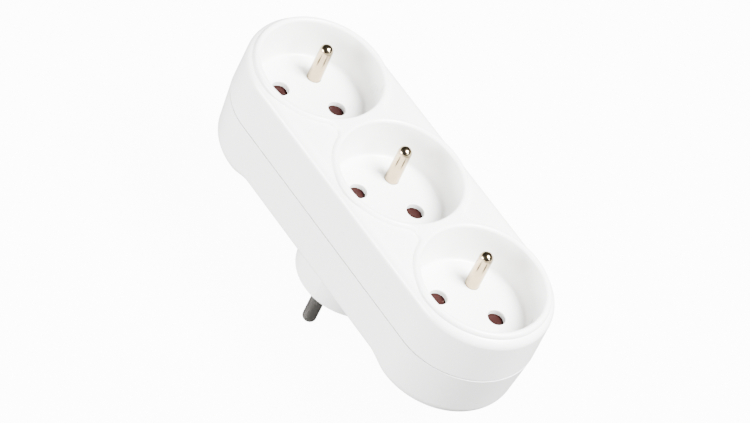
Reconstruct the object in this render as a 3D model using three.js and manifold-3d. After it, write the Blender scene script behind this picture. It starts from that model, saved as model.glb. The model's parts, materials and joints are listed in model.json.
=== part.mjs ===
import * as THREE from 'three';
import { mergeVertices } from 'three/addons/utils/BufferGeometryUtils.js';
import Module from 'manifold-3d';

const wasm = await Module();
wasm.setup();

// A triple socket adapter, in millimetres. The origin is the centre of the plug's face, between its two live
// pins. +Z points out of the wall through the front, and +X runs along the body from socket 1 to socket 3.

// Contact layout that the plug and the three sockets share
const contactSpacing = 19;
const contactDiameter = 4.8;
const earthOffset = 10;
const plugPinLength = 19;
const earthPinLength = 14.7;
const contactHoleDiameter = 5.8;

// Row of sockets
const socketPitch = 44.45;
const socketTurn = THREE.MathUtils.degToRad(45);

// Heights of the housing, each measured from the one before, starting at the plug's face
const plugDepth = 16.1;
const rearWallHeight = 15.7;
const frontWallHeight = 18.1;
const rimHeight = 1.2;
const wellDepth = 14.5;
const endDrop = 4.6;

// Outline of the housing
const bodyRadius = 24.4;
const endOverhang = 1.25;
const sideDraft = 0.4;
const frontRounding = 3.3;
const backRounding = 3;
const partingGroove = 0.3;
const dropInset = 6.7;
const dropLength = 7;

// Wells and the raised rim that joins them
const wellFloorDiameter = 38;
const wellMouthDiameter = 40.4;
const wellCornerRadius = 1.2;
const rimWidth = 2.3;
const waistRounding = 3.6;

// Walls
const wallThickness = 2.2;
const wellWallThickness = 1.8;
const floorThickness = 3;
const lipThickness = 0.9;
const lipHeight = 1.6;
const faceThickness = 4;

// Plug body
const plugDiameter = 36.8;
const plugEdgeRounding = 1;
const plugRootRounding = 2;
const guideFlatWidth = 8;
const earthHoleDiameter = 6.2;

// Shutters, their trays and springs
const shutterSpace = 3.8;
const shutterArmAngle = THREE.MathUtils.degToRad(42);
const shutterReach = 13;
const shutterHubDiameter = 10;
const shutterHubThickness = 1.3;
const rampLowEdge = 0.5;
const rampFlat = 1.2;
const pivotDiameter = 4;
const trayThickness = 1.6;
const trayDiameter = 34;
const stakeDiameter = 3;
const stakeOffset = 10.6;
const springWire = 0.5;
const springTurnRadius = 2.7;
const springTurns = 2;

// Metal strips, clips and fasteners
const liveBarThickness = 1;
const liveBarHeight = 6;
const clipThickness = 0.6;
const clipWidth = 4.4;
const clipBulge = 0.5;
const earthBarThickness = 1.2;
const earthBarWidth = 2.9;
const stirrupThickness = 0.8;
const stirrupWidth = 5;
const screwDiameter = 3;
const screwHeadDiameter = 5.2;
const screwHeadHeight = 2.4;
const screwRecess = 3;
const screwOffset = 17.6;
const bossDiameter = 5.6;

// Small features
const rimFoot = 0.5;
const holeEdge = 0.3;
const ribThickness = 1.6;
const pocketLength = 24;
const pocketStart = 8;
const stakeHead = 0.8;
const screwBite = 9;
const crossSlot = 0.8;
const plugTipRounding = 1.8;
const pinFlange = 1;
const earthPinTaper = 0.15;
const tailRadius = 2;
const shoulderRadius = 3.2;
const rivetHeight = 0.8;
const sideRecess = 1.2;
const sideContactStart = 2.2;
const stirrupShoulder = 12;
const stirrupInset = 1;
const eyeRim = 1.5;
const sleeveThickness = 0.7;
const sleeveHeight = 10;
const clipMouth = 2.2;
const liveTabWidth = 6;
const liveTabEnd = 9.5;
const earthBarStart = 11.4;
const earthLegX = -5.3;
const earthLegWidth = 3;
const earthFootLength = 3.4;
const stopGap = 0.4;
const stopLength = 4;

// Clearances
const mouldingGap = 0.1;
const fitGap = 0.3;
const runningGap = 0.15;
const pinGap = 0.1;
const pinTipGap = 1.2;

// How far a shape that cuts or joins another reaches past its surface
const overshoot = 1;

// Heights worked out from the ones above
const backHeight = plugDepth;
const endBackHeight = backHeight - endDrop;
const partingHeight = backHeight + rearWallHeight;
const frontHeight = partingHeight + frontWallHeight;
const rimTop = frontHeight + rimHeight;
const wellFloor = rimTop - wellDepth;
const floorUnderside = wellFloor - floorThickness;
const trayTop = floorUnderside - shutterSpace;
const trayBottom = trayTop - trayThickness;
const insertedTip = wellFloor - plugPinLength;
const clipFloor = insertedTip - pinTipGap;
const liveBarBottom = backHeight + wallThickness + fitGap;
const liveBarTop = liveBarBottom + liveBarHeight;

// Plan sizes worked out from the ones above
const pinRadius = contactDiameter / 2;
const contactReach = contactSpacing / 2;
const bodyHalfStraight = socketPitch + endOverhang;
const cavityRadius = bodyRadius - wallThickness;
const rimRadius = wellMouthDiameter / 2 + rimWidth;
const tubRadius = wellMouthDiameter / 2 + wellWallThickness;
const plugRadius = plugDiameter / 2;
const cupRadius = plugRadius - wallThickness;
const socketCentres = [-socketPitch, 0, socketPitch];
const lineContact = new THREE.Vector2(contactReach, 0).rotateAround(new THREE.Vector2(), socketTurn);
const neutralContact = lineContact.clone().negate();
const earthContact = new THREE.Vector2(0, earthOffset).rotateAround(new THREE.Vector2(), socketTurn);
const stakeCentre = new THREE.Vector2(0, -stakeOffset).rotateAround(new THREE.Vector2(), socketTurn);
const liveBarInner = lineContact.y + pinRadius + runningGap + clipThickness;
const barRibPlaces = [-socketPitch / 2, socketPitch / 2];
const screwPlaces = [screwOffset, -screwOffset].flatMap((y) => barRibPlaces.map((x) => [x, y]));

// Facets of round shapes
const largeSegments = 32;
const pinSegments = 16;
const smallSegments = 12;
const edgeSteps = 3;
const endSteps = 7;
const lobeSteps = 10;
const waistSteps = 3;
const dropSteps = 5;
const springSides = 5;
const springSteps = 27;

// Turns a closed three.js geometry into a solid that can be joined and cut
function solid(geometry) {
  const bare = geometry.index ? geometry.toNonIndexed() : geometry.clone();
  bare.deleteAttribute('normal');
  bare.deleteAttribute('uv');
  const merged = mergeVertices(bare, 1e-5);
  const corners = merged.index.array;
  const kept = [];
  for (let i = 0; i < corners.length; i += 3) {
    const [a, b, c] = [corners[i], corners[i + 1], corners[i + 2]];
    if (a !== b && b !== c && c !== a) {
      kept.push(a, b, c);
    }
  }
  return new wasm.Manifold(new wasm.Mesh({
    numProp: 3,
    vertProperties: new Float32Array(merged.attributes.position.array),
    triVerts: new Uint32Array(kept),
  }));
}

// Turns a solid back into a geometry for a mesh
function surface(shape) {
  const mesh = shape.getMesh();
  const geometry = new THREE.BufferGeometry();
  geometry.setAttribute('position', new THREE.BufferAttribute(new Float32Array(mesh.vertProperties), 3));
  geometry.setIndex(new THREE.BufferAttribute(new Uint32Array(mesh.triVerts), 1));
  geometry.computeVertexNormals();
  return geometry;
}

function join(...shapes) {
  return shapes.reduce((sum, shape) => sum.add(shape));
}

function cut(base, ...tools) {
  return tools.reduce((rest, tool) => rest.subtract(tool), base);
}

// A body of revolution about the vertical through (x, y), from pairs of radius and height
function revolve(profile, x = 0, y = 0, segments = largeSegments) {
  const points = profile.map(([radius, height]) => new THREE.Vector2(radius, height));
  const geometry = new THREE.LatheGeometry(points, segments);
  geometry.rotateX(Math.PI / 2);
  return solid(geometry).translate(x, y, 0);
}

function cylinder(radius, bottom, top, x = 0, y = 0, segments = pinSegments) {
  return revolve([[0, bottom], [radius, bottom], [radius, top], [0, top]], x, y, segments);
}

function block(x0, x1, y0, y1, z0, z1) {
  const geometry = new THREE.BoxGeometry(x1 - x0, y1 - y0, z1 - z0);
  geometry.translate((x0 + x1) / 2, (y0 + y1) / 2, (z0 + z1) / 2);
  return solid(geometry);
}

// A flat outline raised from one height to another
function plate(outline, bottom, top) {
  const shape = new THREE.Shape(outline);
  const geometry = new THREE.ExtrudeGeometry(shape, { depth: top - bottom, bevelEnabled: false });
  geometry.translate(0, 0, bottom);
  return solid(geometry);
}

// The outline of a bent strip of even thickness along a line of points
function stripOutline(points, thickness) {
  const sides = [1, -1].map((side) => points.map((point, i) => {
    const before = points[Math.max(i - 1, 0)];
    const after = points[Math.min(i + 1, points.length - 1)];
    const inward = i > 0 ? point.clone().sub(before).normalize() : after.clone().sub(point).normalize();
    const outward = i < points.length - 1 ? after.clone().sub(point).normalize() : inward;
    const along = inward.clone().add(outward).normalize();
    const reach = thickness / 2 / along.dot(inward);
    return new THREE.Vector2(-along.y, along.x).multiplyScalar(side * reach).add(point);
  }));
  return [...sides[0], ...sides[1].reverse()];
}

// An outline drawn in x and z, with its width along y
function plateAcross(outline, y0, y1) {
  return plate(outline, -y1, -y0).rotate([90, 0, 0]);
}

// An outline drawn in y and z, with its length along x
function plateAlong(outline, x0, x1) {
  return plate(outline, x0, x1).rotate([90, 0, 90]);
}

// Points on an arc of a vertical section or a plan, both ends included
function arc(x, y, radius, from, to, steps) {
  return Array.from({ length: steps + 1 }, (_, i) => {
    const angle = from + (to - from) * (i / steps);
    return new THREE.Vector2(x + radius * Math.cos(angle), y + radius * Math.sin(angle));
  });
}

// A ring from its upper half, which runs from right to left; the lower half mirrors it
function mirroredRing(upper, heightAt) {
  const lower = upper.slice(1, -1).reverse().map((point) => new THREE.Vector2(point.x, -point.y));
  return [...upper, ...lower].map((point) => new THREE.Vector3(point.x, point.y, heightAt(point.x)));
}

// A body skinned over a stack of mirrored rings, lowest first, and closed across y at both ends
function loft(rings) {
  const count = rings[0].length;
  const index = [];
  for (let level = 0; level < rings.length - 1; level++) {
    for (let i = 0; i < count; i++) {
      const a = level * count + i;
      const b = level * count + (i + 1) % count;
      index.push(a, b, b + count, a, b + count, a + count);
    }
  }
  const top = (rings.length - 1) * count;
  for (let i = 0; i < count / 2; i++) {
    const across = (count - i) % count;
    const nextAcross = count - i - 1;
    index.push(i, nextAcross, i + 1, i, across, nextAcross);
    index.push(top + i, top + i + 1, top + nextAcross, top + i, top + nextAcross, top + across);
  }
  const geometry = new THREE.BufferGeometry();
  const positions = rings.flat().flatMap((point) => [point.x, point.y, point.z]);
  geometry.setAttribute('position', new THREE.Float32BufferAttribute(positions, 3));
  geometry.setIndex(index);
  return solid(geometry);
}

// The housing's outline at one inset, with extra points along its straight sides
function bodyRing(radius, heightAt, stops = []) {
  const upper = [
    ...arc(bodyHalfStraight, 0, radius, 0, Math.PI / 2, endSteps),
    ...stops.map((x) => new THREE.Vector2(x, radius)),
    ...arc(-bodyHalfStraight, 0, radius, Math.PI / 2, Math.PI, endSteps),
  ];
  return mirroredRing(upper, heightAt);
}

function bodyPrism(radius, bottom, top) {
  return loft([bodyRing(radius, () => bottom), bodyRing(radius, () => top)]);
}

// The back steps away from the wall box in the middle and hangs lower at both ends
function backAt(x) {
  const dropEnd = bodyHalfStraight - dropInset;
  return backHeight - endDrop * THREE.MathUtils.smoothstep(Math.abs(x), dropEnd - dropLength, dropEnd);
}

function backStops() {
  const dropEnd = bodyHalfStraight - dropInset;
  const right = Array.from({ length: dropSteps + 1 }, (_, i) => dropEnd - dropLength * (i / dropSteps));
  return [...right, ...right.map((x) => -x).reverse()];
}

// Outline of the raised rim: three round lobes joined by hollow waists
function rimRing(inset, height) {
  const lobe = rimRadius - inset;
  const waist = waistRounding + inset;
  const half = socketPitch / 2;
  const waistY = Math.sqrt((rimRadius + waistRounding) ** 2 - half ** 2);
  const meet = Math.atan2(waistY, half);
  const upper = [
    ...arc(socketPitch, 0, lobe, 0, Math.PI - meet, lobeSteps),
    ...arc(half, waistY, waist, -meet, meet - Math.PI, waistSteps).slice(1),
    ...arc(0, 0, lobe, meet, Math.PI - meet, lobeSteps).slice(1),
    ...arc(-half, waistY, waist, -meet, meet - Math.PI, waistSteps).slice(1),
    ...arc(-socketPitch, 0, lobe, meet, Math.PI, lobeSteps).slice(1),
  ];
  return mirroredRing(upper, () => height);
}

// Quarter turns for a rounded edge, as pairs of cosine and sine from the side to the face
function quarter(steps = edgeSteps) {
  return Array.from({ length: steps + 1 }, (_, i) => {
    const angle = (Math.PI / 2) * (i / steps);
    return [Math.cos(angle), Math.sin(angle)];
  });
}

function frontShell() {
  const radius = bodyRadius - sideDraft;
  const rings = [
    bodyRing(bodyRadius - partingGroove, () => partingHeight),
    bodyRing(bodyRadius, () => partingHeight + partingGroove),
    ...quarter().map(([side, up]) => bodyRing(
      radius - frontRounding * (1 - side),
      () => frontHeight - frontRounding * (1 - up),
    )),
  ];
  return loft(rings);
}

function raisedRim() {
  const crown = rimWidth / 2;
  const foot = frontHeight - rimFoot;
  const rings = [
    rimRing(0, frontHeight - frontRounding / 2),
    ...quarter().map(([side, up]) => rimRing(crown * (1 - side), foot + (rimTop - foot) * up)),
  ];
  return loft(rings);
}

// The space of one well, from its floor out through the rounded mouth
function wellSpace(x) {
  const floorRadius = wellFloorDiameter / 2;
  const mouthRadius = wellMouthDiameter / 2;
  const lip = rimWidth / 2 - mouldingGap;
  const corner = quarter().reverse().map(([side, up]) => [
    floorRadius - wellCornerRadius * (1 - side),
    wellFloor + wellCornerRadius * (1 - up),
  ]);
  const mouth = quarter().map(([side, up]) => [
    mouthRadius + lip * (1 - side),
    rimTop - lip * (1 - up),
  ]);
  const above = rimTop + overshoot;
  return revolve([[0, wellFloor], ...corner, ...mouth, [mouthRadius + lip, above], [0, above]], x);
}

// Hollow beside each waist, between the tubs of two wells and the side wall
function waistPocket(x, side) {
  const half = pocketLength / 2;
  const span = [pocketStart * side, (cavityRadius + wallThickness) * side].sort((a, b) => a - b);
  const below = floorUnderside - overshoot;
  const room = block(x - half, x + half, span[0], span[1], below, frontHeight - wallThickness);
  const tubs = socketCentres.map((centre) => cylinder(
    tubRadius, below - overshoot, rimTop, centre, 0, largeSegments,
  ));
  return cut(room.intersect(bodyPrism(cavityRadius, below, rimTop)), ...tubs);
}

// Boss that a cover screw bites into, with a rib to the side wall
function frontBoss([x, y]) {
  const post = cylinder(bossDiameter / 2, partingHeight, frontHeight - wallThickness / 2, x, y);
  const wall = Math.sign(y) * (cavityRadius + wallThickness / 2);
  const rib = block(
    x - ribThickness / 2, x + ribThickness / 2, Math.min(y, wall), Math.max(y, wall),
    floorUnderside, frontHeight - wallThickness / 2,
  );
  return join(post, rib);
}

// Hole for a live pin in the floor of a well, with a soft edge
function contactHole(x, y) {
  const radius = contactHoleDiameter / 2;
  const edge = holeEdge;
  return revolve([
    [0, floorUnderside - overshoot],
    [radius, floorUnderside - overshoot],
    [radius, wellFloor - edge],
    [radius + edge, wellFloor],
    [radius + edge, wellFloor + edge],
    [0, wellFloor + edge],
  ], x, y, pinSegments);
}

// What stands below a well's floor: the shutter's pivot and the stake that holds the tray
function wellPegs(x) {
  const pivot = cylinder(pivotDiameter / 2, trayTop + fitGap, floorUnderside + fitGap, x, 0);
  const stake = revolve([
    [0, trayBottom - stakeHead],
    [stakeDiameter / 2 + stakeHead / 2, trayBottom - stakeHead],
    [stakeDiameter / 2 + stakeHead, trayBottom - stakeHead / 2],
    [stakeDiameter / 2 + stakeHead, trayBottom],
    [stakeDiameter / 2, trayBottom],
    [stakeDiameter / 2, floorUnderside + fitGap],
    [0, floorUnderside + fitGap],
  ], x + stakeCentre.x, stakeCentre.y, smallSegments);
  return join(pivot, stake);
}

function frontCover() {
  const lipEdge = partingHeight - lipHeight;
  const lip = bodyPrism(cavityRadius + lipThickness, lipEdge, partingHeight + overshoot);
  const cavity = bodyPrism(cavityRadius, lipEdge - overshoot, floorUnderside);
  const pockets = screwPlaces.map(([x, y]) => waistPocket(x, Math.sign(y)));
  const whole = join(frontShell(), raisedRim(), lip);
  const hollowed = cut(whole, cavity, ...pockets, ...socketCentres.map(wellSpace));
  const fitted = join(hollowed, ...screwPlaces.map(frontBoss), ...socketCentres.map(wellPegs));
  const pilots = screwPlaces.map(([x, y]) => cylinder(
    screwDiameter / 2 + runningGap, lipEdge, partingHeight + screwBite + overshoot, x, y,
  ));
  const below = floorUnderside - overshoot;
  const above = wellFloor + overshoot;
  const holes = socketCentres.flatMap((x) => [
    contactHole(x + lineContact.x, lineContact.y),
    contactHole(x + neutralContact.x, neutralContact.y),
    cylinder(pinRadius + pinGap, below, above, x + earthContact.x, earthContact.y),
  ]);
  return cut(fitted, ...pilots, ...holes);
}

// Round plug body with a rounded face edge and a hollow root where it meets the back
function plugBody() {
  const edge = quarter().reverse().map(([side, up]) => [
    plugRadius - plugEdgeRounding * (1 - side),
    plugEdgeRounding * (1 - up),
  ]);
  const root = quarter().map(([side, up]) => [
    plugRadius + plugRootRounding * (1 - side),
    backHeight - plugRootRounding * (1 - up),
  ]);
  const inWall = backHeight + wallThickness / 2;
  const body = revolve([[0, 0], ...edge, ...root, [plugRadius + plugRootRounding, inWall], [0, inWall]]);
  const flat = Math.sqrt(plugRadius ** 2 - (guideFlatWidth / 2) ** 2);
  const far = plugRadius + overshoot;
  const flatTop = backHeight - plugRootRounding;
  return cut(
    body,
    block(-far, far, flat, far, -overshoot, flatTop),
    block(-far, far, -far, -flat, -overshoot, flatTop),
  );
}

function rearShell() {
  const radius = bodyRadius - sideDraft;
  const stops = backStops();
  const rings = [
    ...quarter().reverse().map(([side, up]) => bodyRing(
      radius - backRounding * (1 - side),
      (x) => backAt(x) + backRounding * (1 - up),
      stops,
    )),
    bodyRing(bodyRadius, () => partingHeight - partingGroove, stops),
    bodyRing(bodyRadius - partingGroove, () => partingHeight, stops),
  ];
  return loft(rings);
}

function rearCavity() {
  const stops = backStops();
  const inner = backRounding - wallThickness / 2;
  const rings = [
    ...quarter(2).reverse().map(([side, up]) => bodyRing(
      cavityRadius - inner * (1 - side),
      (x) => backAt(x) + wallThickness + inner * (1 - up),
      stops,
    )),
    bodyRing(cavityRadius, () => partingHeight + overshoot, stops),
  ];
  return loft(rings);
}

// Post that a cover screw passes through, wider round its head
function rearPost([x, y]) {
  const seat = backHeight + screwRecess;
  const collar = screwHeadDiameter / 2 + fitGap + lipThickness;
  return revolve([
    [0, backHeight + wallThickness / 2],
    [collar, backHeight + wallThickness / 2],
    [collar, seat],
    [bossDiameter / 2, seat + ribThickness],
    [bossDiameter / 2, partingHeight],
    [0, partingHeight],
  ], x, y, smallSegments);
}

function screwPassage([x, y]) {
  const seat = backHeight + screwRecess;
  return revolve([
    [0, endBackHeight],
    [screwHeadDiameter / 2 + fitGap, endBackHeight],
    [screwHeadDiameter / 2 + fitGap, seat],
    [screwDiameter / 2 + fitGap, seat],
    [screwDiameter / 2 + fitGap, partingHeight + overshoot],
    [0, partingHeight + overshoot],
  ], x, y, smallSegments);
}

// Slotted rib that holds a live bar on edge
function barRib(x, side) {
  const inner = liveBarInner - ribThickness;
  const outer = liveBarInner + liveBarThickness + ribThickness;
  const foot = backAt(x) + wallThickness / 2;
  const rib = block(
    x - ribThickness / 2, x + ribThickness / 2, inner, outer, foot, liveBarBottom + liveBarHeight / 2,
  );
  const slot = block(
    x - ribThickness, x + ribThickness, liveBarInner - fitGap, liveBarInner + liveBarThickness + fitGap,
    liveBarBottom - fitGap / 2, liveBarTop,
  );
  const whole = cut(rib, slot);
  return side > 0 ? whole : whole.rotate([0, 0, 180]);
}

// Shallow channel and slot in the plug's side for one side contact of the stirrup
function sideContactCut(side) {
  const halfWidth = stirrupWidth / 2 + fitGap;
  const floor = plugRadius - sideRecess;
  const far = plugRadius + overshoot;
  const reach = stirrupThickness / 2 + fitGap;
  const shoulder = stirrupShoulder + reach;
  const whole = join(
    block(floor, far, -halfWidth, halfWidth, sideContactStart - fitGap, shoulder),
    block(cupRadius - overshoot, far, -halfWidth, halfWidth, stirrupShoulder - reach, shoulder),
  );
  return side > 0 ? whole : whole.rotate([0, 0, 180]);
}

// Room under one contact clip, where the step of the back comes close to it
function clipRoom(x, y) {
  const halfX = clipWidth / 2 + fitGap;
  const halfY = pinRadius + runningGap + clipThickness + fitGap;
  return block(x - halfX, x + halfX, y - halfY, y + halfY, clipFloor - clipThickness - fitGap, liveBarTop);
}

function rearCover() {
  const cupTop = backHeight + wallThickness + overshoot;
  const cup = cylinder(cupRadius, faceThickness, cupTop, 0, 0, largeSegments);
  const rebate = bodyPrism(
    cavityRadius + lipThickness + fitGap, partingHeight - lipHeight - fitGap, partingHeight + overshoot,
  );
  const shell = cut(join(rearShell(), plugBody()), rearCavity(), rebate, cup);
  const rooms = socketCentres.flatMap((x) => [
    clipRoom(x + lineContact.x, lineContact.y),
    clipRoom(x + neutralContact.x, neutralContact.y),
  ]);
  const ribs = barRibPlaces.flatMap((x) => [barRib(x, 1), barRib(x, -1)]);
  const fitted = join(shell, ...screwPlaces.map(rearPost), ...ribs);
  const earthHole = earthHoleDiameter / 2;
  const inside = faceThickness + overshoot;
  return cut(
    fitted,
    ...rooms,
    ...screwPlaces.map(screwPassage),
    cylinder(pinRadius + pinGap, -overshoot, inside, 0, contactReach),
    cylinder(pinRadius + pinGap, -overshoot, inside, 0, -contactReach),
    revolve([
      [0, -overshoot],
      [earthHole + holeEdge + overshoot, -overshoot],
      [earthHole, holeEdge],
      [earthHole, inside],
      [0, inside],
    ], -earthOffset, 0, pinSegments),
    sideContactCut(1),
    sideContactCut(-1),
  );
}

// Earth pin: riveted below the tray, with a shoulder that fills the shutter space and a round tip
function earthPin() {
  const tip = wellFloor + earthPinLength;
  const tipRadius = pinRadius - earthPinTaper;
  const head = trayBottom - earthBarThickness;
  const dome = quarter(4).map(([side, up]) => [tipRadius * side, tip - tipRadius * (1 - up)]);
  return revolve([
    [0, head - rivetHeight],
    [tailRadius + rivetHeight / 2, head - rivetHeight],
    [tailRadius + rivetHeight, head],
    [tailRadius, head],
    [tailRadius, trayTop],
    [shoulderRadius, trayTop],
    [shoulderRadius, floorUnderside],
    [pinRadius, floorUnderside],
    [pinRadius, wellFloor + floorThickness],
    ...dome,
  ], earthContact.x, earthContact.y, pinSegments);
}

// Flat brass comb over the three earth pins, with a leg that drops into the plug
function earthBar() {
  const top = trayBottom;
  const bottom = top - earthBarThickness;
  const inner = earthBarStart;
  const outer = inner + earthBarWidth;
  const tab = shoulderRadius;
  const ends = [earthContact.x - socketPitch - tab, earthContact.x + socketPitch + tab];
  const strip = block(ends[0], ends[1], inner, outer, bottom, top);
  const tabs = socketCentres.map((x) => join(
    block(x + earthContact.x - tab, x + earthContact.x + tab, earthContact.y, outer, bottom, top),
    cylinder(tab, bottom, top, x + earthContact.x, earthContact.y),
  ));
  const holes = socketCentres.map((x) => cylinder(
    tailRadius + pinGap, bottom - overshoot, top + overshoot, x + earthContact.x, earthContact.y,
  ));
  const lugTop = faceThickness + stirrupThickness;
  const leg = plateAlong(stripOutline([
    new THREE.Vector2(outer - earthBarThickness / 2, bottom + earthBarThickness / 2),
    new THREE.Vector2(outer - earthBarThickness / 2, lugTop + earthBarThickness / 2),
    new THREE.Vector2(outer - earthFootLength, lugTop + earthBarThickness / 2),
  ], earthBarThickness), earthLegX - earthLegWidth / 2, earthLegX + earthLegWidth / 2);
  return cut(join(strip, ...tabs, leg), ...holes);
}

// Brass strip on edge along the line contacts, with a tab down to its plug pin
function liveBar() {
  const margin = clipWidth / 2 + fitGap;
  const ends = [lineContact.x - socketPitch - margin, lineContact.x + socketPitch + margin];
  const outer = liveBarInner + liveBarThickness;
  const strip = block(ends[0], ends[1], liveBarInner, outer, liveBarBottom, liveBarTop);
  const half = liveTabWidth / 2;
  const tab = block(-half, half, liveBarInner, outer, liveTabEnd, liveBarBottom + overshoot);
  return join(strip, tab);
}

// Sprung clip round one live contact: two leaves that pinch the pin and flare at the mouth
function contactClip() {
  const straight = pinRadius + runningGap + clipThickness / 2;
  const pinched = pinRadius - clipBulge + clipThickness / 2;
  const top = trayBottom - fitGap;
  const base = clipFloor - clipThickness / 2;
  const half = [
    new THREE.Vector2(straight, base),
    new THREE.Vector2(straight, top - 2 * clipMouth),
    new THREE.Vector2(pinched, top - clipMouth),
    new THREE.Vector2(straight, top - clipThickness / 4),
  ];
  const left = half.map((point) => new THREE.Vector2(-point.x, point.y)).reverse();
  const path = [...left, ...half].map((point) => point.add(new THREE.Vector2(lineContact.y, 0)));
  const outline = stripOutline(path, clipThickness);
  return plateAlong(outline, lineContact.x - clipWidth / 2, lineContact.x + clipWidth / 2);
}

// One arm of a shutter, drawn along +x: a sector whose top slopes down towards +y
function shutterArm() {
  const top = floorUnderside - fitGap;
  const bottom = trayTop + fitGap;
  const half = shutterArmAngle / 2;
  const inner = springTurnRadius + springWire / 2 + 3 * fitGap;
  const outline = [
    ...arc(0, 0, shutterReach, -half, half, 2 * edgeSteps),
    ...arc(0, 0, inner, half, -half, edgeSteps),
  ];
  const lowSide = shutterReach * Math.sin(half) + overshoot;
  const highSide = contactReach * Math.sin(half);
  const slope = plateAlong([
    new THREE.Vector2(rampFlat - highSide, top),
    new THREE.Vector2(highSide, bottom + rampLowEdge),
    new THREE.Vector2(lowSide, bottom + rampLowEdge),
    new THREE.Vector2(lowSide, top + overshoot),
    new THREE.Vector2(rampFlat - highSide, top + overshoot),
  ], shutterHubDiameter / 2 + fitGap, shutterReach + overshoot);
  return cut(plate(outline, bottom, top), slope);
}

function shutter() {
  const top = floorUnderside - fitGap;
  const turn = THREE.MathUtils.radToDeg(socketTurn);
  const hub = cylinder(shutterHubDiameter / 2, top - shutterHubThickness, top, 0, 0, pinSegments);
  const arms = [turn, turn + 180].map((angle) => shutterArm().rotate([0, 0, angle]));
  const bore = cylinder(pivotDiameter / 2 + runningGap, trayBottom, wellFloor, 0, 0);
  return cut(join(hub, ...arms), bore);
}

// Shallow insulating dish under a well, open above for the shutter
function shutterTray() {
  const radius = trayDiameter / 2;
  const dish = revolve([
    [0, trayBottom],
    [radius, trayBottom],
    [radius, floorUnderside],
    [radius - trayThickness, floorUnderside],
    [radius - trayThickness, trayTop],
    [0, trayTop],
  ], 0, 0, 2 * smallSegments);
  const half = shutterArmAngle / 2;
  const stops = [socketTurn, socketTurn + Math.PI].map((angle) => {
    const side = angle + half + stopGap / shutterReach;
    const top = floorUnderside - fitGap;
    const stop = block(shutterReach - stopLength, shutterReach, 0, trayThickness, trayBottom, top);
    return stop.rotate([0, 0, THREE.MathUtils.radToDeg(side)]);
  });
  const passages = [
    [contactHoleDiameter / 2, lineContact],
    [contactHoleDiameter / 2, neutralContact],
    [tailRadius + fitGap, earthContact],
    [stakeDiameter / 2 + fitGap, stakeCentre],
  ].map(([reach, { x, y }]) => cylinder(reach, trayBottom - overshoot, trayTop + overshoot, x, y));
  return cut(join(dish, ...stops), ...passages);
}

// Wire of a shutter spring: a leg against the stake, the turns round the pivot, and a leg against an arm
class SpringPath extends THREE.Curve {
  constructor(plan) {
    super();
    this.plan = plan;
    this.turnLength = plan.turn * plan.radius;
    this.total = plan.fixedLeg + this.turnLength + plan.movingLeg;
  }

  getPoint(t, target = new THREE.Vector3()) {
    const { start, turn, radius, fixedLeg, low, rise } = this.plan;
    const run = t * this.total;
    const wound = THREE.MathUtils.clamp((run - fixedLeg) / this.turnLength, 0, 1);
    const angle = start + turn * wound;
    const beyond = run < fixedLeg ? run - fixedLeg : Math.max(run - fixedLeg - this.turnLength, 0);
    return target.set(
      radius * Math.cos(angle) - beyond * Math.sin(angle),
      radius * Math.sin(angle) + beyond * Math.cos(angle),
      low + rise * wound,
    );
  }
}

function shutterSpring() {
  const radius = springTurnRadius;
  const fixedReach = stakeOffset;
  const movingReach = contactReach;
  const clear = springWire / 2 + fitGap;
  const stakeAngle = Math.atan2(stakeCentre.y, stakeCentre.x);
  const fixedEnd = stakeAngle + (stakeDiameter / 2 + clear) / fixedReach;
  const movingEnd = socketTurn - shutterArmAngle / 2 - clear / movingReach;
  const start = fixedEnd + Math.PI / 2 - Math.asin(radius / fixedReach);
  const finish = movingEnd - Math.PI / 2 + Math.asin(radius / movingReach);
  const path = new SpringPath({
    start,
    turn: finish + 2 * Math.PI * springTurns - start,
    radius,
    fixedLeg: Math.sqrt(fixedReach ** 2 - radius ** 2),
    movingLeg: Math.sqrt(movingReach ** 2 - radius ** 2),
    low: trayTop + clear,
    rise: floorUnderside - fitGap - shutterHubThickness - trayTop - 2 * clear,
  });
  const section = new THREE.Shape(arc(0, 0, springWire / 2, 0, 2 * Math.PI, springSides).slice(0, -1));
  const wire = { steps: springSteps, extrudePath: path, bevelEnabled: false };
  return solid(new THREE.ExtrudeGeometry(section, wire));
}

// Plug pin with a rounded tip, a flange on the inside of the plug's face and a flat for its bar's tab
function plugPin() {
  const tip = quarter().reverse().map(([side, up]) => [
    pinRadius - plugTipRounding * (1 - side),
    -plugPinLength + plugTipRounding * (1 - up),
  ]);
  const pin = revolve([
    [0, -plugPinLength],
    ...tip,
    [pinRadius, faceThickness],
    [pinRadius + pinFlange, faceThickness],
    [pinRadius + pinFlange, faceThickness + pinFlange],
    [pinRadius, faceThickness + pinFlange],
    [pinRadius, liveBarBottom - pinFlange],
    [0, liveBarBottom - pinFlange],
  ], 0, contactReach, pinSegments);
  const beside = pinRadius + overshoot;
  const far = contactReach + beside;
  const flat = block(-beside, beside, liveBarInner, far, liveTabEnd - fitGap, liveBarBottom);
  return cut(pin, flat);
}

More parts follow.
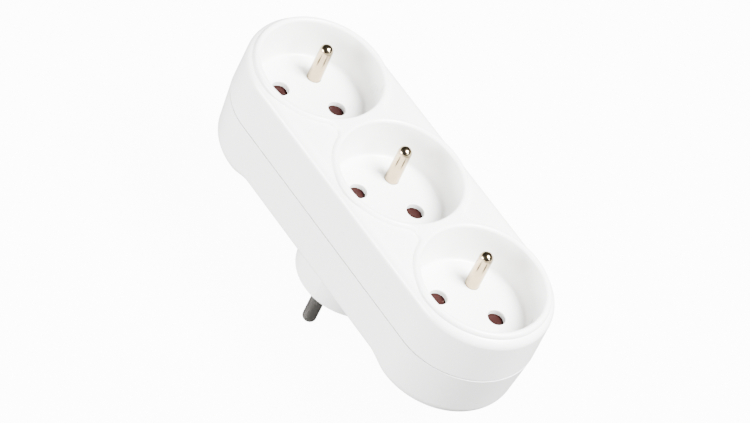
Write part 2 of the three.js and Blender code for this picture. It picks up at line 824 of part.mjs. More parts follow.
// Bent strip across the plug whose two ends lie in the plug's sides, with a lug for the earth bar's foot
function earthStirrup() {
  const outside = plugRadius - sideRecess + fitGap + stirrupThickness / 2;
  const inside = cupRadius - stirrupInset;
  const base = faceThickness + stirrupThickness / 2;
  const half = [
    new THREE.Vector2(inside, base),
    new THREE.Vector2(inside, stirrupShoulder),
    new THREE.Vector2(outside, stirrupShoulder),
    new THREE.Vector2(outside, sideContactStart),
  ];
  const left = half.map((point) => new THREE.Vector2(-point.x, point.y)).reverse();
  const outline = stripOutline([...left, ...half], stirrupThickness);
  const strip = plateAcross(outline, -stirrupWidth / 2, stirrupWidth / 2);
  const lug = block(
    earthLegX - earthLegWidth / 2, earthLegX + earthLegWidth / 2, 0, earthBarStart + earthBarWidth,
    faceThickness, faceThickness + stirrupThickness,
  );
  const opening = pinRadius + fitGap;
  const eye = cylinder(opening + eyeRim, faceThickness, faceThickness + stirrupThickness, -earthOffset);
  const passage = cylinder(opening, 0, stirrupShoulder, -earthOffset);
  return cut(join(strip, lug, eye), passage);
}

// Rolled sleeve that takes the wall socket's earth pin
function earthSleeve() {
  const foot = faceThickness + stirrupThickness;
  const inner = pinRadius + pinGap;
  const tube = revolve([
    [inner, foot],
    [inner + sleeveThickness, foot],
    [inner + sleeveThickness, foot + sleeveHeight],
    [inner, foot + sleeveHeight],
    [inner, foot],
  ], -earthOffset, 0, pinSegments);
  const beside = -earthOffset + inner + sleeveThickness + overshoot;
  const slit = block(
    -earthOffset, beside, -fitGap, fitGap, foot - overshoot, foot + sleeveHeight + overshoot,
  );
  return cut(tube, slit);
}

// Cover screw with a crosshead, its head towards the back
function coverScrew() {
  const seat = backHeight + screwRecess;
  const underside = seat - screwHeadHeight;
  const screw = revolve([
    [0, underside],
    [screwHeadDiameter / 2 - holeEdge, underside],
    [screwHeadDiameter / 2, underside + screwHeadHeight / 2],
    [screwHeadDiameter / 2, seat],
    [screwDiameter / 2, seat],
    [screwDiameter / 2, partingHeight + screwBite - screwDiameter / 2],
    [0, partingHeight + screwBite],
  ], 0, 0, smallSegments);
  const reach = screwHeadDiameter / 3;
  const blade = crossSlot / 2;
  const below = underside - overshoot;
  const slotFloor = underside + screwHeadHeight / 2;
  return cut(
    screw,
    block(-reach, reach, -blade, blade, below, slotFloor),
    block(-blade, blade, -reach, reach, below, slotFloor),
  );
}

// Materials
const finishes = {
  whitePlastic: { color: 0xf1f1ef, roughness: 0.35, metalness: 0 },
  shutterPlastic: { color: 0x6b3a33, roughness: 0.45, metalness: 0 },
  trayPlastic: { color: 0xd8d4ca, roughness: 0.5, metalness: 0 },
  nickel: { color: 0xb8afa2, roughness: 0.25, metalness: 1 },
  brass: { color: 0xc8a45a, roughness: 0.35, metalness: 1 },
  springSteel: { color: 0x8c8f92, roughness: 0.3, metalness: 1 },
  zincSteel: { color: 0xa7a9ab, roughness: 0.4, metalness: 1 },
};

const group = new THREE.Group();

function place(name, shape, finish, x = 0, y = 0, halfTurn = false) {
  const mesh = new THREE.Mesh(surface(shape), new THREE.MeshStandardMaterial(finishes[finish]));
  mesh.name = name;
  mesh.position.set(x, y, 0);
  mesh.rotation.z = halfTurn ? Math.PI : 0;
  group.add(mesh);
}

place('front_cover', frontCover(), 'whitePlastic');
place('rear_cover', rearCover(), 'whitePlastic');
place('line_bar', liveBar(), 'brass');
place('neutral_bar', liveBar(), 'brass', 0, 0, true);
place('earth_bar', earthBar(), 'brass');
place('plug_pin_line', plugPin(), 'nickel');
place('plug_pin_neutral', plugPin(), 'nickel', 0, 0, true);
place('earth_stirrup', earthStirrup(), 'nickel');
place('earth_sleeve', earthSleeve(), 'brass');
socketCentres.forEach((x, i) => {
  place(`earth_pin_${i + 1}`, earthPin(), 'nickel', x);
  place(`line_clip_${i + 1}`, contactClip(), 'brass', x);
  place(`neutral_clip_${i + 1}`, contactClip(), 'brass', x, 0, true);
  place(`shutter_tray_${i + 1}`, shutterTray(), 'trayPlastic', x);
  place(`shutter_${i + 1}`, shutter(), 'shutterPlastic', x);
  place(`shutter_spring_${i + 1}`, shutterSpring(), 'springSteel', x);
});
screwPlaces.forEach(([x, y], i) => place(`cover_screw_${i + 1}`, coverScrew(), 'zincSteel', x, y));

export default group;
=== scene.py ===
import json
import math

import bmesh
import bpy
from mathutils import Matrix, Vector


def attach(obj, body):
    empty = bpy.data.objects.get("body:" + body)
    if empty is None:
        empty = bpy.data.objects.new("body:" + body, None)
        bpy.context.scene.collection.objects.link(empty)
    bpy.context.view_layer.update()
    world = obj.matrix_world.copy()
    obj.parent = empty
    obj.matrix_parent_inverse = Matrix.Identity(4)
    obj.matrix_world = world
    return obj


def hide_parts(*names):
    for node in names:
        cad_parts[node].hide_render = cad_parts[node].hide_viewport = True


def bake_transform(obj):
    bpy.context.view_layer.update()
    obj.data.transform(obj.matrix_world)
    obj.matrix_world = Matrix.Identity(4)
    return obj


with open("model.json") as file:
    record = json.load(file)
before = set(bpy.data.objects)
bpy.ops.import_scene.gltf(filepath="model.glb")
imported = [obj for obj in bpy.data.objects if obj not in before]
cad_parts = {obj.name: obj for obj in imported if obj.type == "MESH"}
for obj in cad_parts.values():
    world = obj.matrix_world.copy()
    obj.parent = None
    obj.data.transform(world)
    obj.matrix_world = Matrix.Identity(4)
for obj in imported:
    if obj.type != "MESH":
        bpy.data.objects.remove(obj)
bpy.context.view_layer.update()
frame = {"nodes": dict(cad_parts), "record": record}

MM = 0.001

# Sizes of the CAD part, in millimetres, with heights counted from the plug's face: the two covers
PITCH = 44.45
OVERHANG = 1.25
HALF = PITCH + OVERHANG
BODY = 24.4
DRAFT = 0.4
SIDE = BODY - DRAFT
FRONT_ROUND = 3.3
BACK_ROUND = 3.0
DROP_INSET = 6.7
DROP_LENGTH = 7.0
END_DROP = 4.6
BACK = 16.1
PARTING = 31.8
FRONT = 49.9
RIM_TOP = 51.1
FLOOR = 36.6
UNDER = 33.6
RIM = 22.5
RIM_WIDTH = 2.3
RIM_FOOT = 0.5
RIM_CREST = 0.1
WAIST = 3.6
FLOOR_R = 19.0
MOUTH_R = 20.2
CORNER = 1.2
WALL = 2.2
CAVITY = BODY - WALL
LIP_R = CAVITY + 0.9
LIP_H = 1.6
LIP_CLEAR = 0.3

# The contact holes and the pins. LIVE is a live one's distance from the middle of well or plug.
HOLE_R = 2.9
HOLE_EDGE = 0.3
LIVE = 9.5
REACH = LIVE / math.sqrt(2)
EARTH_OFFSET = 10.0
EARTH = (-EARTH_OFFSET / math.sqrt(2), EARTH_OFFSET / math.sqrt(2))
PIN = 2.4
PIN_CLEAR = 0.1
EARTH_PIN_HEIGHT = 14.7
EARTH_PIN_STRAIGHT = 3.0
EARTH_PIN_TAPER = 0.15
RIVET_LOW = 26.2
RIVET_TOP = 27.0
RIVET_R = 2.8
NECK_R = 2.0
SHOULDER_LOW = 29.8
SHOULDER_R = 3.2
PLUG_PIN_LENGTH = 19.0
PLUG_PIN_TIP = 1.8
PLUG_PIN_COLLAR = 1.0
PLUG_PIN_TOP = 17.6
PLUG_PIN_FLAT = 9.868
PLUG_PIN_FLAT_LOW = 9.2

# The plug body, its side earth contacts and the screws
PLUG = 18.4
PLUG_EDGE = 1.0
PLUG_ROOT = 2.0
PLUG_FLAT_HALF = 4.0
CUP = PLUG - WALL
FACE = 4.0
EARTH_MOUTH_R = 3.1
CONTACT_HALF = 2.8
CONTACT_DEPTH = 1.2
CONTACT_LOW = 1.9
CONTACT_TOP = 12.0
CONTACT_SLOT_HALF = 0.7
SCREW_Y = 17.6
SCREW_SEAT = BACK + 3
SCREW_HEAD_R = 2.9
SCREW_SHANK_R = 1.8
POST_FOOT_R = 3.8
POST_R = 2.8
POST_TAPER = 1.6
CENTRES = (-PITCH, 0.0, PITCH)
SCREWS = [(side * PITCH / 2, end * SCREW_Y) for end in (1, -1) for side in (1, -1)]

# The outline as the photo shows it: the back lies lower than the solid's and drops less, the ends
# stand in a little and lean inwards towards the back, where their edge is rounder
SEEN_BACK = 14.7
SEEN_DROP = 3.4
SEEN_INSET = 1.9
SEEN_LENGTH = 9.0
SEEN_END_ROUND = 5.0
HALF_FRONT = PITCH + 0.45
HALF_PARTING = PITCH + 0.35
HALF_BACK = PITCH - 0.55

# The parting groove, deep enough for the photo's dark line
GROOVE = 0.9
GROOVE_HALF = 0.22
GROOVE_EDGE = 0.15

# The recess under each well's floor, and the shutter's raised faces that fill it
HOLE_WALL = 1.9
SHUTTER_RECESS = 14.6
SHUTTER_PAD = 4.7
PAD_TOP = FLOOR - HOLE_WALL - 0.25
PAD_LOW = 32.3

# How far a cutting tool runs past the surfaces that it opens, and the turn that counts as an edge
PAST = 1.0
SHARP_ANGLE = math.radians(32)


def raw_object(name, points, faces):
    mesh = bpy.data.meshes.new(name)
    mesh.from_pydata([(x * MM, y * MM, z * MM) for x, y, z in points], [], faces)
    mesh.validate()
    obj = bpy.data.objects.new(name, mesh)
    bpy.context.scene.collection.objects.link(obj)
    return obj


def distinct(corners):
    """A face's corners without those that repeat the one before."""
    return [c for k, c in enumerate(corners) if c != corners[k - 1]]


def lathe(name, profile, x=0.0, y=0.0, segments=64):
    """A closed solid turned about the vertical through (x, y).

    The profile is a list of (radius, height) pairs that goes up the solid's outside.
    """
    points, rows = [], []
    for radius, height in profile:
        if radius < 1e-9:
            rows.append([len(points)] * segments)
            points.append((x, y, height))
        else:
            rows.append(list(range(len(points), len(points) + segments)))
            for i in range(segments):
                a = 2 * math.pi * i / segments
                points.append((x + radius * math.cos(a), y + radius * math.sin(a), height))
    faces = []
    for low, high in zip(rows, rows[1:]):
        for i in range(segments):
            j = (i + 1) % segments
            face = distinct([low[i], low[j], high[j], high[i]])
            if len(face) > 2:
                faces.append(face)
    return raw_object(name, points, faces)


def rod(name, radius, low, high, x=0.0, y=0.0, segments=48):
    return lathe(name, [(0, low), (radius, low), (radius, high), (0, high)], x, y, segments)


def block(name, x0, x1, y0, y1, z0, z1):
    points = [(x, y, z) for z in (z0, z1) for y in (y0, y1) for x in (x0, x1)]
    faces = [
        (0, 2, 3, 1), (4, 5, 7, 6), (0, 1, 5, 4), (2, 6, 7, 3), (0, 4, 6, 2), (1, 3, 7, 5),
    ]
    return raw_object(name, points, faces)


def arc(x, y, radius, start, end, steps):
    turns = [start + (end - start) * i / steps for i in range(steps + 1)]
    return [(x + radius * math.cos(a), y + radius * math.sin(a)) for a in turns]


def quarter(steps=12):
    """The cosine and sine of each step through a quarter turn."""
    turns = [math.pi / 2 * i / steps for i in range(steps + 1)]
    return [(math.cos(a), math.sin(a)) for a in turns]


def ring(upper, height_at):
    """A closed ring from its half with y above 0, with its height at each x."""
    lower = [(x, -y) for x, y in reversed(upper[1:-1])]
    return [(x, y, height_at(x)) for x, y in upper + lower]


def loft(name, rings):
    """A closed solid over a stack of rings, with both ends closed by faces that run across y."""
    count = len(rings[0])
    faces = []
    for level in range(len(rings) - 1):
        for i in range(count):
            a, b = level * count + i, level * count + (i + 1) % count
            faces.append((a, b, b + count, a + count))
    top = (len(rings) - 1) * count
    for i in range(count // 2):
        across, following = (count - i) % count, count - i - 1
        faces.append(distinct([across, following, i + 1, i]))
        faces.append([top + c for c in distinct([i, i + 1, following, across])])
    return raw_object(name, [p for r in rings for p in r], faces)


def body_ring(radius, height_at, stops=(), half=HALF_PARTING, side_at=None, steps=40):
    """A ring with the body's outline.

    Its ends are half circles about half and -half. Its sides have a point at each x in stops, at
    the radius or at what side_at gives.
    """
    upper = arc(half, 0, radius, 0, math.pi / 2, steps)
    upper += [(x, side_at(x) if side_at else radius) for x in stops]
    upper += arc(-half, 0, radius, math.pi / 2, math.pi, steps)
    return ring(upper, height_at)


def body_prism(name, radius, low, high):
    return loft(name, [body_ring(radius, lambda x: low), body_ring(radius, lambda x: high)])


def smoothstep(x, low, high):
    t = min(max((x - low) / (high - low), 0), 1)
    return t * t * (3 - 2 * t)


def back_at(x):
    end = HALF - SEEN_INSET
    return SEEN_BACK - SEEN_DROP * smoothstep(abs(x), end - SEEN_LENGTH, end)


def back_round_at(x):
    end = HALF - SEEN_INSET
    growth = SEEN_END_ROUND - BACK_ROUND
    return BACK_ROUND + growth * smoothstep(abs(x), end - SEEN_LENGTH, end)


def inner_back_at(x):
    end = HALF - DROP_INSET
    return BACK - END_DROP * smoothstep(abs(x), end - DROP_LENGTH, end)


def back_stops(steps=28):
    """The places along the sides where the inner or the outer back changes its height."""
    low, high = HALF - DROP_INSET - DROP_LENGTH, HALF - SEEN_INSET
    right = [high - (high - low) * i / steps for i in range(steps + 1)]
    return right + [-x for x in reversed(right)]


def parting_rings(towards, stops=()):
    """The edge of a shell beside the parting line, going away from it."""
    rings = [
        body_ring(BODY - GROOVE, lambda x: PARTING, stops),
        body_ring(BODY - GROOVE, lambda x: PARTING + towards * GROOVE_HALF, stops),
    ]
    for s, u in quarter(4):
        height = PARTING + towards * (GROOVE_HALF + GROOVE_EDGE * (1 - s))
        rings.append(body_ring(BODY - GROOVE_EDGE * (1 - u), lambda x, at=height: at, stops))
    return rings


def rim_ring(inset, height, lobe_steps=72, waist_steps=18):
    """The raised rim's outline: three lobes about the wells, joined by rounded waists."""
    lobe, waist, half = RIM - inset, WAIST + inset, PITCH / 2
    waist_y = math.sqrt((RIM + WAIST) ** 2 - half ** 2)
    meet = math.atan2(waist_y, half)
    upper = arc(PITCH, 0, lobe, 0, math.pi - meet, lobe_steps)
    upper += arc(half, waist_y, waist, -meet, meet - math.pi, waist_steps)[1:]
    upper += arc(0, 0, lobe, meet, math.pi - meet, lobe_steps // 2)[1:]
    upper += arc(-half, waist_y, waist, -meet, meet - math.pi, waist_steps)[1:]
    upper += arc(-PITCH, 0, lobe, meet, math.pi, lobe_steps)[1:]
    return ring(upper, lambda x: height)


def combine(base, tools, operation):
    """Joins tools to base or cuts them from it, and removes the tools."""
    for tool in tools:
        step = base.modifiers.new("step", "BOOLEAN")
        step.operation = operation
        step.solver = "MANIFOLD"
        step.object = tool
    bpy.context.view_layer.update()
    depsgraph = bpy.context.evaluated_depsgraph_get()
    mesh = bpy.data.meshes.new_from_object(base.evaluated_get(depsgraph))
    base.modifiers.clear()
    base.data = mesh
    for tool in tools:
        bpy.data.objects.remove(tool)
    return base


def join(base, *tools):
    return combine(base, tools, "UNION")


def cut(base, *tools):
    return combine(base, tools, "DIFFERENCE")


def smooth(obj):
    """Smooth shading that stays crisp at real edges and flat on flat faces."""
    obj.data.shade_smooth()
    obj.data.set_sharp_from_angle(angle=SHARP_ANGLE)
    normals = obj.modifiers.new("normals", "WEIGHTED_NORMAL")
    normals.mode = "FACE_AREA_WITH_ANGLE"
    normals.weight = 50
    normals.keep_sharp = True


def well_space(x):
    """The space inside a well, with a rounded foot and the rim's rounded inner edge."""
    lip = RIM_WIDTH / 2 - RIM_CREST
    foot = [
        (FLOOR_R - CORNER * (1 - s), FLOOR + CORNER * (1 - u)) for s, u in reversed(quarter())
    ]
    mouth = [(MOUTH_R + lip * (1 - s), RIM_TOP - lip * (1 - u)) for s, u in quarter()]
    above = RIM_TOP + PAST
    profile = [(0, FLOOR)] + foot + mouth + [(MOUTH_R + lip, above), (0, above)]
    return lathe("tool", profile, x, 0, 144)


def contact_hole(x, y):
    edge = [
        (HOLE_R + HOLE_EDGE * (1 - s), FLOOR - HOLE_EDGE * (1 - u)) for s, u in quarter(6)
    ]
    low, above = UNDER - PAST, FLOOR + PAST / 2
    profile = [(0, low), (HOLE_R, low)] + edge + [(HOLE_R + HOLE_EDGE, above), (0, above)]
    return lathe("tool", profile, x, y, 56)


def front_skin():
    rings = parting_rings(1)
    for s, u in quarter(16):
        height = FRONT - FRONT_ROUND * (1 - u)
        radius = SIDE - FRONT_ROUND * (1 - s)
        rings.append(body_ring(radius, lambda x, at=height: at, half=HALF_FRONT))
    shell = loft("front_skin", rings)
    crown, foot = RIM_WIDTH / 2, FRONT - RIM_FOOT
    bead = [rim_ring(0, FRONT - FRONT_ROUND / 2)]
    bead += [rim_ring(crown * (1 - s), foot + (RIM_TOP - foot) * u) for s, u in quarter(14)]
    lip = body_prism("tool", LIP_R, PARTING - LIP_H, PARTING + PAST)
    shell = join(shell, loft("tool", bead), lip)
    tools = [body_prism("tool", CAVITY, PARTING - LIP_H - PAST, UNDER)]
    tools += [well_space(x) for x in CENTRES]
    for x in CENTRES:
        tools.append(rod("tool", SHUTTER_RECESS, UNDER - PAST, FLOOR - HOLE_WALL, x, 0, 96))
        tools += [contact_hole(x + REACH, REACH), contact_hole(x - REACH, -REACH)]
        place = (x + EARTH[0], EARTH[1])
        tools.append(rod("tool", PIN + PIN_CLEAR, UNDER - PAST, FLOOR + PAST, *place))
    return cut(shell, *tools)


def plug_solid():
    """The round plug body with its two guide flats, filled in, rounded into the back."""
    edge = [(PLUG - PLUG_EDGE * (1 - s), PLUG_EDGE * (1 - u)) for s, u in reversed(quarter(8))]
    root = [(PLUG + PLUG_ROOT * (1 - s), SEEN_BACK - PLUG_ROOT * (1 - u)) for s, u in quarter(10)]
    top = BACK + WALL / 2
    profile = [(0, 0)] + edge + root + [(PLUG + PLUG_ROOT, top), (0, top)]
    body = lathe("tool", profile, 0, 0, 160)
    flat = math.sqrt(PLUG ** 2 - PLUG_FLAT_HALF ** 2)
    far, flat_top = PLUG + PAST, SEEN_BACK - PLUG_ROOT
    return cut(
        body,
        block("tool", -far, far, flat, far, -PAST, flat_top),
        block("tool", -far, far, -far, -flat, -PAST, flat_top),
    )


def screw_post(x, y):
    low = BACK + WALL / 2
    profile = [
        (0, low), (POST_FOOT_R, low), (POST_FOOT_R, SCREW_SEAT),
        (POST_R, SCREW_SEAT + POST_TAPER), (POST_R, PARTING), (0, PARTING),
    ]
    return lathe("tool", profile, x, y, 48)


def screw_passage(x, y):
    """The hole for a screw's head and shank, with a rounded mouth on the back."""
    mouth = [
        (SCREW_HEAD_R + HOLE_EDGE * (1 - s), SEEN_BACK + HOLE_EDGE * (1 - c))
        for c, s in quarter(5)
    ]
    low, high = SEEN_BACK - 2 * PAST, PARTING + PAST
    profile = [(0, low), (SCREW_HEAD_R + HOLE_EDGE, low)] + mouth + [
        (SCREW_HEAD_R, SCREW_SEAT), (SCREW_SHANK_R, SCREW_SEAT), (SCREW_SHANK_R, high), (0, high),
    ]
    return lathe("tool", profile, x, y, 48)


def side_contact_cut(side):
    """The recess of a side earth contact, and the slot where the contact enters the plug."""
    recess = sorted([side * (PLUG - CONTACT_DEPTH), side * (PLUG + PAST)])
    slot = sorted([side * (CUP - PAST), side * (PLUG + PAST)])
    slot_low, slot_top = CONTACT_TOP - CONTACT_SLOT_HALF, CONTACT_TOP + CONTACT_SLOT_HALF
    return [
        block("tool", *recess, -CONTACT_HALF, CONTACT_HALF, CONTACT_LOW, slot_top),
        block("tool", *slot, -CONTACT_HALF, CONTACT_HALF, slot_low, slot_top),
    ]


def rear_skin():
    stops = back_stops()
    rings = [
        body_ring(
            SIDE - SEEN_END_ROUND * (1 - s),
            lambda x, u=u: back_at(x) + back_round_at(x) * (1 - u),
            stops,
            HALF_BACK,
            lambda x, s=s: SIDE - back_round_at(x) * (1 - s),
        )
        for s, u in reversed(quarter(16))
    ]
    rings += reversed(parting_rings(-1, stops))
    shell = join(loft("rear_skin", rings), plug_solid())
    inner = BACK_ROUND - WALL / 2
    hollow = [
        body_ring(
            CAVITY - inner * (1 - s),
            lambda x, u=u: inner_back_at(x) + WALL + inner * (1 - u),
            stops,
        )
        for s, u in reversed(quarter(4))
    ]
    hollow.append(body_ring(CAVITY, lambda x: PARTING + PAST, stops))
    shell = cut(
        shell,
        loft("tool", hollow),
        body_prism("tool", LIP_R + LIP_CLEAR, PARTING - LIP_H - LIP_CLEAR, PARTING + PAST),
        rod("tool", CUP, FACE, BACK + WALL + PAST, segments=96),
    )
    shell = join(shell, *[screw_post(x, y) for x, y in SCREWS])
    tools = [screw_passage(x, y) for x, y in SCREWS]
    tools += [
        rod("tool", PIN + PIN_CLEAR, -PAST, FACE + PAST, 0, side * LIVE) for side in (1, -1)
    ]
    mouth = [
        (EARTH_MOUTH_R + HOLE_EDGE * (1 - s), HOLE_EDGE * (1 - c)) for c, s in quarter(6)
    ]
    profile = [(0, -PAST), (EARTH_MOUTH_R + HOLE_EDGE, -PAST)] + mouth + [
        (EARTH_MOUTH_R, FACE + PAST), (0, FACE + PAST),
    ]
    tools.append(lathe("tool", profile, -EARTH_OFFSET, 0, 64))
    tools += side_contact_cut(1) + side_contact_cut(-1)
    return cut(shell, *tools)


def node_copy(name, node_name):
    """A new piece with a CAD node's shape, its vertices joined along sharp edges."""
    shape = bmesh.new()
    shape.from_mesh(frame["nodes"][node_name].data)
    bmesh.ops.remove_doubles(shape, verts=shape.verts, dist=1e-7)
    shape.verts.index_update()
    points = [tuple(v.co / MM) for v in shape.verts]
    faces = [[v.index for v in face.verts] for face in shape.faces]
    shape.free()
    return raw_object(name, points, faces)


def shutter_skin(number, x):
    """The shutter with a raised face under each contact hole, up into the floor's recess."""
    pads = [
        rod("tool", SHUTTER_PAD, PAD_LOW, PAD_TOP, x + side * REACH, side * REACH, 64)
        for side in (1, -1)
    ]
    return join(node_copy(f"shutter_skin_{number}", f"shutter_{number}"), *pads)


def earth_pin_skin(x, name):
    """A well's earth pin: riveted foot, neck, shoulder under the floor, and domed tip."""
    tip, tip_radius = FLOOR + EARTH_PIN_HEIGHT, PIN - EARTH_PIN_TAPER
    dome = [(tip_radius * s, tip - tip_radius * (1 - u)) for s, u in quarter(14)]
    profile = [
        (0, RIVET_LOW), (PIN, RIVET_LOW), (RIVET_R, RIVET_TOP), (NECK_R, RIVET_TOP),
        (NECK_R, SHOULDER_LOW), (SHOULDER_R, SHOULDER_LOW), (SHOULDER_R, UNDER),
        (PIN, UNDER), (PIN, FLOOR + EARTH_PIN_STRAIGHT),
    ] + dome
    return lathe(name, profile, x + EARTH[0], EARTH[1], 56)


def plug_pin_skin(side, name):
    """A live pin of the plug: rounded tip, collar inside the plug's face, and a flat at its top."""
    tip = [
        (PIN - PLUG_PIN_TIP * (1 - s), -PLUG_PIN_LENGTH + PLUG_PIN_TIP * (1 - u))
        for s, u in reversed(quarter(12))
    ]
    collar = PIN + PLUG_PIN_COLLAR
    profile = [(0, -PLUG_PIN_LENGTH)] + tip + [
        (PIN, FACE), (collar, FACE), (collar, FACE + PLUG_PIN_COLLAR),
        (PIN, FACE + PLUG_PIN_COLLAR), (PIN, PLUG_PIN_TOP), (0, PLUG_PIN_TOP),
    ]
    pin = lathe(name, profile, 0, LIVE * side, 56)
    wide = PIN + PAST
    flat = sorted([side * PLUG_PIN_FLAT, side * (LIVE + wide)])
    return cut(pin, block("tool", -wide, wide, *flat, PLUG_PIN_FLAT_LOW, PLUG_PIN_TOP + PAST))


# Materials: each slot has its own node tree with colour, roughness and bump detail. Noise between
# NOISE_LOW and NOISE_HIGH covers the whole of a material's range.
NOISE_LOW = 0.3
NOISE_HIGH = 0.7


def new_material(name):
    material = bpy.data.materials.new(name)
    material.use_nodes = True
    nodes, links = material.node_tree.nodes, material.node_tree.links
    shader = nodes["Principled BSDF"]
    return material, nodes, links, shader


def noise(nodes, links, scale, detail=3.0, stretch=(1, 1, 1)):
    place = nodes.new("ShaderNodeTexCoord")
    mapping = nodes.new("ShaderNodeMapping")
    mapping.inputs["Scale"].default_value = stretch
    texture = nodes.new("ShaderNodeTexNoise")
    texture.inputs["Scale"].default_value = scale
    texture.inputs["Detail"].default_value = detail
    links.new(place.outputs["Object"], mapping.inputs["Vector"])
    links.new(mapping.outputs["Vector"], texture.inputs["Vector"])
    return texture.outputs["Fac"]


def spread(nodes, links, value, low, high):
    span = nodes.new("ShaderNodeMapRange")
    span.inputs["From Min"].default_value = NOISE_LOW
    span.inputs["From Max"].default_value = NOISE_HIGH
    span.inputs["To Min"].default_value = low
    span.inputs["To Max"].default_value = high
    links.new(value, span.inputs["Value"])
    return span.outputs["Result"]


def blend_colour(nodes, links, value, dark, light):
    ramp = nodes.new("ShaderNodeValToRGB")
    ramp.color_ramp.elements[0].position = NOISE_LOW
    ramp.color_ramp.elements[0].color = (*dark, 1)
    ramp.color_ramp.elements[1].position = NOISE_HIGH
    ramp.color_ramp.elements[1].color = (*light, 1)
    links.new(value, ramp.inputs["Fac"])
    return ramp.outputs["Color"]


def bump(nodes, links, shader, height, strength, distance):
    relief = nodes.new("ShaderNodeBump")
    relief.inputs["Strength"].default_value = strength
    relief.inputs["Distance"].default_value = distance
    links.new(height, relief.inputs["Height"])
    links.new(relief.outputs["Normal"], shader.inputs["Normal"])


def plastic(name, dark, light, rough, grain, strength, subsurface=0.0, specular=0.5):
    """A moulded plastic. Grain is the scale of its fine bumps and strength their depth."""
    material, nodes, links, shader = new_material(name)
    colour = blend_colour(nodes, links, noise(nodes, links, scale=18), dark, light)
    links.new(colour, shader.inputs["Base Color"])
    roughness = spread(nodes, links, noise(nodes, links, scale=90), *rough)
    links.new(roughness, shader.inputs["Roughness"])
    shader.inputs["IOR"].default_value = 1.5
    shader.inputs["Specular IOR Level"].default_value = specular
    if subsurface:
        shader.inputs["Subsurface Weight"].default_value = subsurface
        shader.inputs["Subsurface Radius"].default_value = (0.0012, 0.0011, 0.001)
        shader.inputs["Subsurface Scale"].default_value = 1.0
    fine = noise(nodes, links, scale=grain, detail=2.0)
    bump(nodes, links, shader, fine, strength, distance=0.02 * MM)
    return material


def metal(name, dark, light, rough, stretch):
    """A metal with fine marks. Stretch is small along the way in which they run."""
    material, nodes, links, shader = new_material(name)
    shader.inputs["Metallic"].default_value = 1.0
    colour = blend_colour(nodes, links, noise(nodes, links, scale=220), dark, light)
    links.new(colour, shader.inputs["Base Color"])
    marks = noise(nodes, links, scale=500, detail=4.0, stretch=stretch)
    links.new(spread(nodes, links, marks, *rough), shader.inputs["Roughness"])
    fine = noise(nodes, links, scale=900, detail=4.0, stretch=stretch)
    bump(nodes, links, shader, fine, strength=0.25, distance=0.01 * MM)
    return material


UPRIGHT, LENGTHWISE, EVEN = (1, 1, 0.15), (0.1, 1, 1), (1, 1, 1)
MATERIALS = {
    "white_plastic": plastic(
        "white_plastic", (0.80, 0.80, 0.79), (0.83, 0.83, 0.82), rough=(0.27, 0.35),
        grain=700, strength=0.12, subsurface=0.15,
    ),
    # The shutter colour is partly its own dark red-brown and partly painted shade: it is darkened
    # to stand for the shade that fills the contact holes
    "shutter_plastic": plastic(
        "shutter_plastic", (0.011, 0.002, 0.0015), (0.016, 0.003, 0.0022), rough=(0.4, 0.5),
        grain=1500, strength=0.3, specular=0.12,
    ),
    "tray_plastic": plastic(
        "tray_plastic", (0.62, 0.58, 0.5), (0.7, 0.66, 0.58), rough=(0.42, 0.55),
        grain=1500, strength=0.3,
    ),
    "nickel": metal(
        "nickel", (0.345, 0.27, 0.165), (0.415, 0.33, 0.215), (0.12, 0.21), UPRIGHT
    ),
    "plug_nickel": metal(
        "plug_nickel", (0.74, 0.71, 0.66), (0.82, 0.79, 0.74), (0.2, 0.32), UPRIGHT
    ),
    "brass": metal("brass", (0.68, 0.48, 0.19), (0.78, 0.58, 0.27), (0.25, 0.4), LENGTHWISE),
    "spring_steel": metal(
        "spring_steel", (0.40, 0.41, 0.43), (0.5, 0.51, 0.53), (0.25, 0.4), EVEN
    ),
    "zinc_steel": metal("zinc_steel", (0.55, 0.56, 0.58), (0.66, 0.67, 0.68), (0.3, 0.45), EVEN),
}

for part in frame["record"]["subparts"]:
    node = frame["nodes"][part["node"]]
    node.data.materials.clear()
    node.data.materials.append(MATERIALS[part["material_slot"]])
    node.data.shade_smooth()
    node.data.set_sharp_from_angle(angle=SHARP_ANGLE)


def dress(obj, slot, node, body="housing", material=None):
    """Finishes a piece that shows in the place of a CAD node. With no body, it is left unattached.
    """
    smooth(obj)
    obj.data.materials.clear()
    obj.data.materials.append(MATERIALS[material or slot])
    if body:
        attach(obj, body)
    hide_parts(node)


dress(front_skin(), "white_plastic", "front_cover")
dress(rear_skin(), "white_plastic", "rear_cover")
for i, x in enumerate(CENTRES, 1):
    dress(earth_pin_skin(x, f"earth_pin_skin_{i}"), "nickel", f"earth_pin_{i}")
    dress(shutter_skin(i, x), "shutter_plastic", f"shutter_{i}", f"shutter_{i}")
    spring = node_copy(f"shutter_spring_skin_{i}", f"shutter_spring_{i}")
    dress(spring, "spring_steel", f"shutter_spring_{i}", None)
    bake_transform(spring)
for side, name in ((1, "line"), (-1, "neutral")):
    pin = plug_pin_skin(side, f"plug_pin_skin_{name}")
    dress(pin, "nickel", f"plug_pin_{name}", material="plug_nickel")

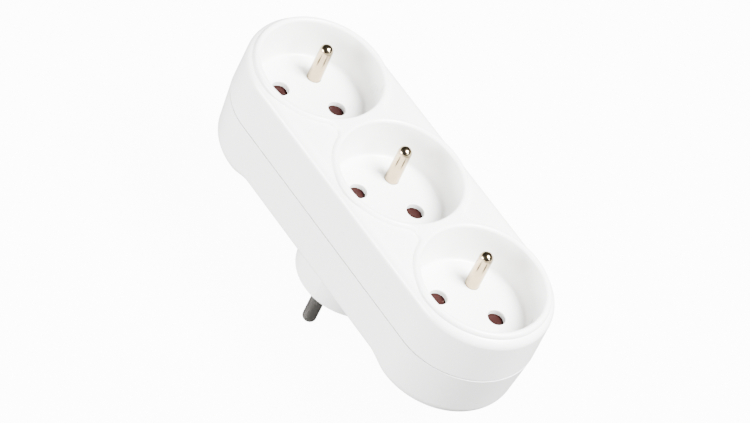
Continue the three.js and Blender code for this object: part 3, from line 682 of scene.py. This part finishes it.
# Studio: a floor that glows white without lighting the part, a faint even surround, two large
# soft lights and a small one for the glints
FLOOR_HALF = 4000
FLOOR_BELOW_PINS = 0.3
floor_material, floor_nodes, floor_links, floor_shader = new_material("floor_paper")
paper = blend_colour(
    floor_nodes, floor_links, noise(floor_nodes, floor_links, scale=3),
    (0.08, 0.08, 0.08), (0.1, 0.1, 0.1),
)
floor_links.new(paper, floor_shader.inputs["Base Color"])
floor_shader.inputs["Roughness"].default_value = 0.9
floor_shader.inputs["Emission Color"].default_value = (1, 1, 1, 1)
floor_shader.inputs["Emission Strength"].default_value = 12.0
fibres = noise(floor_nodes, floor_links, scale=600)
bump(floor_nodes, floor_links, floor_shader, fibres, strength=0.05, distance=0.1 * MM)
floor_height = -PLUG_PIN_LENGTH - FLOOR_BELOW_PINS
floor_corners = [
    (x * FLOOR_HALF, y * FLOOR_HALF, floor_height)
    for x, y in ((-1, -1), (1, -1), (1, 1), (-1, 1))
]
floor = raw_object("floor", floor_corners, [(0, 1, 2, 3)])
floor.data.materials.append(floor_material)
glow = bpy.data.collections.new("floor_glow")
glow.objects.link(floor)
floor.light_linking.receiver_collection = glow

world = bpy.data.worlds.new("surround")
bpy.context.scene.world = world
world.use_nodes = True
surround = world.node_tree.nodes["Background"]
surround.inputs["Color"].default_value = (1.0, 1.0, 1.0, 1)
surround.inputs["Strength"].default_value = 0.06


def area_light(name, position, target, size, power):
    """A rectangular light that faces its target, in metres and watts."""
    light = bpy.data.lights.new(name, "AREA")
    light.shape = "RECTANGLE"
    light.size, light.size_y = size
    light.energy = power
    obj = bpy.data.objects.new(name, light)
    bpy.context.scene.collection.objects.link(obj)
    obj.location = position
    direction = Vector(target) - Vector(position)
    obj.rotation_mode = "QUATERNION"
    obj.rotation_quaternion = direction.to_track_quat("-Z", "Y")


area_light("key", (0.36, 0.17, 0.95), (0, 0, 0.04), size=(0.45, 0.45), power=104)
area_light("side", (-0.35, -0.93, 0.13), (0, 0, 0.03), size=(0.5, 0.25), power=51)
area_light("glint", (0.78, 0.14, 0.62), (0, 0, 0.04), size=(0.2, 0.2), power=8)

# Camera: the photo's own view, found by fitting camera, wells, earth pins, outline and plug
# together. The three directions are those of the picture's right, down and depth.
data = bpy.data.cameras.new("camera")
data.sensor_width = 36
data.lens = 160.90
data.clip_start, data.clip_end = 0.01, 100
camera = bpy.data.objects.new("camera", data)
bpy.context.scene.collection.objects.link(camera)
right = (0.5535, 0.7677, 0.323)
down = (0.7302, -0.2608, -0.6315)
ahead = (-0.4005, 0.5854, -0.7049)
place = (0.4173, -0.6131, 0.7671)
camera.matrix_world = Matrix([
    [right[i], -down[i], -ahead[i], place[i]] for i in range(3)
] + [[0, 0, 0, 1]])
bpy.context.scene.camera = camera
